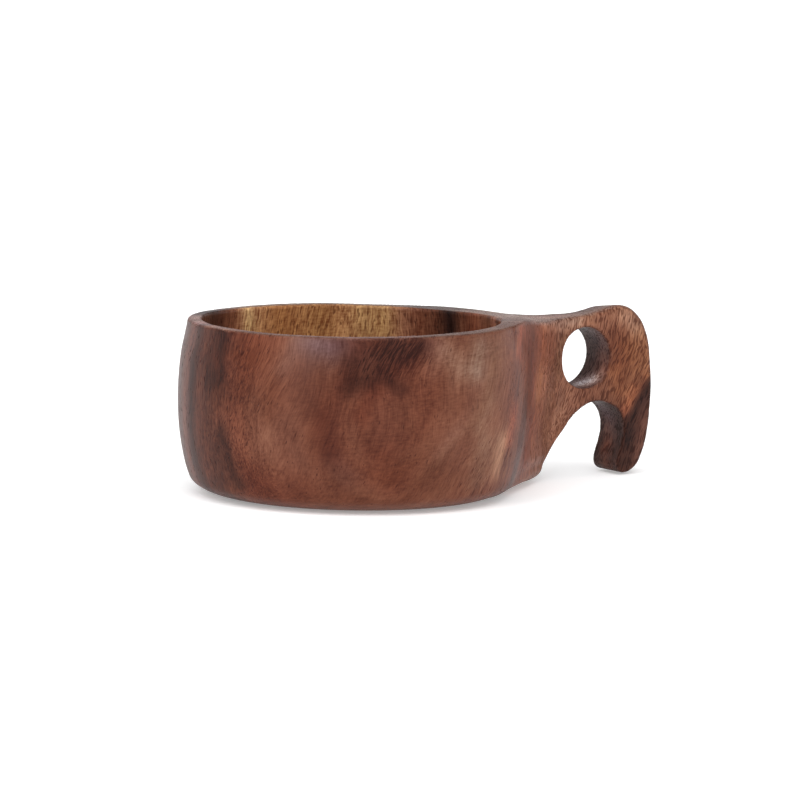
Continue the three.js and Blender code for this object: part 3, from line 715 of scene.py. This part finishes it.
def make_wood():
    m = bpy.data.materials.new("wood")
    m.use_nodes = True
    tree = m.node_tree
    nodes, links = tree.nodes, tree.links
    shader = nodes["Principled BSDF"]

    def plug(value, socket):
        if isinstance(value, bpy.types.NodeSocket):
            links.new(value, socket)
        else:
            socket.default_value = value

    def attribute(name, output):
        n = nodes.new("ShaderNodeAttribute")
        n.attribute_type = "GEOMETRY"
        n.attribute_name = name
        return n.outputs[output]

    def calc(operation, a, b=0.0, c=0.0, clamp=False):
        n = nodes.new("ShaderNodeMath")
        n.operation = operation
        n.use_clamp = clamp
        for value, socket in zip((a, b, c), n.inputs):
            plug(value, socket)
        return n.outputs[0]

    def vector(operation, a, b):
        n = nodes.new("ShaderNodeVectorMath")
        n.operation = operation
        plug(a, n.inputs[0])
        plug(b, n.inputs[1])
        return n.outputs[0]

    def split(v):
        n = nodes.new("ShaderNodeSeparateXYZ")
        plug(v, n.inputs[0])
        return n.outputs[0], n.outputs[1], n.outputs[2]

    def noise(v, scale, shift, detail, roughness=0.5, distortion=0.0):
        n = nodes.new("ShaderNodeTexNoise")
        n.noise_dimensions = "3D"
        plug(vector("ADD", vector("MULTIPLY", v, scale), shift), n.inputs["Vector"])
        n.inputs["Scale"].default_value = 1.0
        n.inputs["Detail"].default_value = detail
        n.inputs["Roughness"].default_value = roughness
        n.inputs["Distortion"].default_value = distortion
        return n.outputs["Fac"]

    def stretch(value, low, high, to_low=0.0, to_high=1.0):
        n = nodes.new("ShaderNodeMapRange")
        n.interpolation_type = "SMOOTHSTEP"
        plug(value, n.inputs["Value"])
        n.inputs["From Min"].default_value = low
        n.inputs["From Max"].default_value = high
        n.inputs["To Min"].default_value = to_low
        n.inputs["To Max"].default_value = to_high
        return n.outputs["Result"]

    def mix(factor, a, b):
        n = nodes.new("ShaderNodeMix")
        n.data_type = "RGBA"
        plug(factor, n.inputs[0])
        plug(a, n.inputs[6])
        plug(b, n.inputs[7])
        return n.outputs[2]

    # the tint holds the wood's colour and the painted sheen and highlights
    tint = attribute("tint", "Color")
    grain = attribute("grain", "Vector")
    pore_share, streak_share, ripple_share = split(attribute("habit", "Vector"))
    hollow, wall, top = split(attribute("zone", "Vector"))

    # a little wander, so that no line is ruled straight
    wander = noise(grain, (0.11, 0.11, 0.045), (3.1, 7.7, 1.9), 2.0)
    lean = calc("MULTIPLY", calc("SUBTRACT", wander, 0.5), 3.0)
    gx, gy, gz = split(grain)
    bent = nodes.new("ShaderNodeCombineXYZ")
    plug(calc("ADD", gx, lean), bent.inputs[0])
    plug(calc("ADD", gy, calc("MULTIPLY", lean, 0.8)), bent.inputs[1])
    plug(gz, bent.inputs[2])
    bent = bent.outputs[0]

    rings_fine = noise(bent, (0.95, 0.12, 0.045), (0.3, 4.0, 9.0), 4.0, 0.62)
    fibres = noise(bent, (1.15, 1.15, 0.12), (5.0, 2.0, 6.0), 3.0, 0.62)
    hairs = noise(bent, (2.2, 2.2, 0.20), (8.0, 1.0, 3.0), 2.0, 0.6)
    mottle = noise(bent, (0.16, 0.16, 0.06), (2.0, 5.0, 8.0), 3.0, 0.55)
    ripple = noise(bent, (0.22, 0.45, 1.5), (6.0, 6.0, 2.0), 2.0, 0.55)
    lines = noise(bent, (1.5, 1.5, 0.028), (9.0, 8.0, 5.0), 2.0, 0.6)
    arcs = noise(bent, (2.7, 0.20, 0.09), (7.0, 3.0, 1.0), 3.0, 0.6)

    value = calc("MULTIPLY", calc("SUBTRACT", rings_fine, 0.5), 0.80)
    value = calc("ADD", value, calc("MULTIPLY", calc("SUBTRACT", fibres, 0.5), 1.05))
    value = calc("ADD", value, calc("MULTIPLY", calc("SUBTRACT", hairs, 0.5), 1.05))
    value = calc("MULTIPLY", value, streak_share)
    value = calc("ADD", value, calc("MULTIPLY", calc("SUBTRACT", lines, 0.5), calc("ADD", 0.30, calc("MULTIPLY", hollow, 1.0))))
    value = calc("ADD", value, calc("MULTIPLY", calc("MULTIPLY", calc("SUBTRACT", arcs, 0.5), 0.50), ripple_share))
    value = calc("ADD", value, calc("MULTIPLY", calc("SUBTRACT", mottle, 0.5), 0.70))
    value = calc("ADD", value, calc("MULTIPLY", calc("MULTIPLY", calc("SUBTRACT", ripple, 0.5), 0.85), ripple_share))
    value = calc("ADD", value, 0.5, clamp=True)

    dark = vector("MULTIPLY", tint, (0.46, 0.32, 0.29))
    light = vector("MULTIPLY", tint, (1.52, 1.72, 1.78))
    colour = mix(value, dark, light)

    # open pores: short dark dashes along the fibre, dots where it is cut across
    pits = noise(bent, (1.75, 1.75, 0.40), (1.0, 9.0, 4.0), 0.0, 0.5)
    crowd = noise(bent, (0.30, 0.30, 0.09), (4.0, 3.0, 7.0), 2.0, 0.5)
    edge = calc("SUBTRACT", 0.76, calc("MULTIPLY", pore_share, 0.26))
    edge = calc("SUBTRACT", edge, calc("MULTIPLY", calc("SUBTRACT", crowd, 0.5), 0.30))
    pore = calc("MULTIPLY", calc("SUBTRACT", pits, edge), 9.0, clamp=True)
    colour = mix(calc("MULTIPLY", pore, 0.80), colour, vector("MULTIPLY", tint, (0.34, 0.25, 0.23)))
    plug(colour, shader.inputs["Base Color"])

    gloss = calc("ADD", 0.40, calc("MULTIPLY", calc("SUBTRACT", fibres, 0.5), 0.16))
    gloss = calc("ADD", gloss, calc("MULTIPLY", pore, 0.22))
    gloss = calc("ADD", gloss, calc("MULTIPLY", top, 0.05))
    plug(gloss, shader.inputs["Roughness"])
    shader.inputs["Specular IOR Level"].default_value = 0.09
    shader.inputs["Coat Weight"].default_value = 0.035
    shader.inputs["Coat Roughness"].default_value = 0.22

    height = calc("SUBTRACT", calc("MULTIPLY", fibres, 0.35), calc("MULTIPLY", pore, 0.8))
    height = calc("ADD", height, calc("MULTIPLY", rings_fine, 0.25))
    height = calc("ADD", height, calc("MULTIPLY", hairs, 0.18))
    bump = nodes.new("ShaderNodeBump")
    bump.inputs["Strength"].default_value = 0.55
    bump.inputs["Distance"].default_value = 0.00012
    plug(height, bump.inputs["Height"])
    plug(bump.outputs["Normal"], shader.inputs["Normal"])
    return m


# ---- the visible piece --------------------------------------------------------
verts, quads, normals = skin(0.88)
mesh = bpy.data.meshes.new("carved_cup_skin")
mesh.vertices.add(len(verts))
mesh.vertices.foreach_set("co", (verts / 1000.0).astype(np.float32).ravel())
mesh.loops.add(len(quads) * 4)
mesh.loops.foreach_set("vertex_index", quads.astype(np.int32).ravel())
mesh.polygons.add(len(quads))
mesh.polygons.foreach_set("loop_start", np.arange(0, len(quads) * 4, 4, dtype=np.int32))
mesh.polygons.foreach_set("loop_total", np.full(len(quads), 4, np.int32))
mesh.polygons.foreach_set("use_smooth", np.ones(len(quads), bool))
mesh.update(calc_edges=True)
mesh.validate(clean_customdata=False)
mesh.normals_split_custom_set_from_vertices(normals.tolist())
cup = bpy.data.objects.new("carved_cup_wood", mesh)
bpy.context.scene.collection.objects.link(cup)
add_grain_and_sheen_fields(mesh, verts)
mesh.materials.append(make_wood())
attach(cup, "root")
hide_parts("carved_cup")


# ---- floor, light, camera -------------------------------------------------------
def stage_material(name, colour, roughness):
    m = bpy.data.materials.new(name)
    m.use_nodes = True
    b = m.node_tree.nodes["Principled BSDF"]
    b.inputs["Base Color"].default_value = (*colour, 1)
    b.inputs["Roughness"].default_value = roughness
    b.inputs["Specular IOR Level"].default_value = 0.15
    # a faintly glowing sweep, like a lit acrylic table, keeps the shadows light
    b.inputs["Emission Color"].default_value = (1, 1, 1, 1)
    b.inputs["Emission Strength"].default_value = 0.28
    return m


# a round sweep: flat as far as 7 m, then curving up into a low wall
profile = [(0.0, 0.0), (0.6, 0.0), (2.5, 0.0), (7.0, 0.0)]
profile += [(7.0 + 1.5 * math.sin(k * math.pi / 16), 1.5 - 1.5 * math.cos(k * math.pi / 16)) for k in range(1, 8)]
profile += [(8.5, 1.5)]
around = 64
floor_verts = [(0.0, 0.0, 0.0)]
for r, z in profile[1:]:
    for k in range(around):
        floor_verts.append((r * math.cos(2 * math.pi * k / around), r * math.sin(2 * math.pi * k / around), z))
floor_faces = [(0, 1 + k, 1 + (k + 1) % around) for k in range(around)]
for ring in range(len(profile) - 2):
    for k in range(around):
        p, q = 1 + ring * around + k, 1 + ring * around + (k + 1) % around
        floor_faces.append((p, p + around, q + around, q))
floor_mesh = bpy.data.meshes.new("floor")
floor_mesh.from_pydata(floor_verts, [], floor_faces)
floor_mesh.update()
floor_mesh.polygons.foreach_set("use_smooth", [True] * len(floor_mesh.polygons))
floor = bpy.data.objects.new("floor", floor_mesh)
floor.location.z = -0.0002
floor_mesh.materials.append(stage_material("pale_floor", (0.93, 0.93, 0.935), 0.7))
bpy.context.scene.collection.objects.link(floor)


def area_light(name, where, aim, width, height, power, colour=(1, 1, 1)):
    data = bpy.data.lights.new(name, "AREA")
    data.shape = "RECTANGLE"
    data.size = width
    data.size_y = height
    data.energy = power
    data.color = colour
    lamp = bpy.data.objects.new(name, data)
    lamp.location = where
    lamp.rotation_euler = (Vector(aim) - Vector(where)).to_track_quat("-Z", "Y").to_euler()
    bpy.context.scene.collection.objects.link(lamp)
    return lamp


world = bpy.data.worlds.new("studio")
world.use_nodes = True
background = world.node_tree.nodes["Background"]
background.inputs["Color"].default_value = (1, 1, 1, 1)
background.inputs["Strength"].default_value = WORLD
bpy.context.scene.world = world
for lamp in LAMPS:
    area_light(*lamp)
for name, azimuth, elevation, strength, spread in SUNS:
    # a wide diffuser far enough away to light the whole floor evenly
    data = bpy.data.lights.new(name, "SUN")
    data.energy = strength
    data.angle = math.radians(spread)
    lamp = bpy.data.objects.new(name, data)
    az, el = math.radians(azimuth), math.radians(elevation)
    toward = Vector((math.cos(az) * math.cos(el), math.sin(az) * math.cos(el), math.sin(el)))
    lamp.rotation_euler = (-toward).to_track_quat("-Z", "Y").to_euler()
    bpy.context.scene.collection.objects.link(lamp)

scene = bpy.context.scene
scene.view_settings.view_transform = "Standard"
scene.view_settings.look = "None"
scene.view_settings.exposure = 0.0
scene.view_settings.gamma = 1.0

CAM_AZIMUTH = -0.5936
CAM_ELEVATION = 0.1269
CAM_ROLL = 0.0171
CAM_DISTANCE = 1.799
CAM_PIXELS = 5496.1
CAM_AIM = (0.0155076, 0.0307398)
a, e = CAM_AZIMUTH, CAM_ELEVATION
back = Vector((math.sin(a) * math.cos(e), -math.cos(a) * math.cos(e), math.sin(e)))
right = Vector((math.cos(a), math.sin(a), 0))
up = back.cross(right)
c, s = math.cos(CAM_ROLL), math.sin(CAM_ROLL)
axis_x = c * right + s * up
axis_y = c * up - s * right
place = right * CAM_AIM[0] + Vector((0, 0, CAM_AIM[1])) + back * CAM_DISTANCE
camera_data = bpy.data.cameras.new("camera")
camera_data.sensor_width = 36.0
camera_data.lens = CAM_PIXELS / 800.0 * 36.0
camera_data.clip_start = 0.05
camera_data.clip_end = 60.0
camera = bpy.data.objects.new("camera", camera_data)
camera.matrix_world = Matrix((
    (axis_x.x, axis_y.x, back.x, place.x),
    (axis_x.y, axis_y.y, back.y, place.y),
    (axis_x.z, axis_y.z, back.z, place.z),
    (0, 0, 0, 1)))
bpy.context.scene.collection.objects.link(camera)
bpy.context.scene.camera = camera
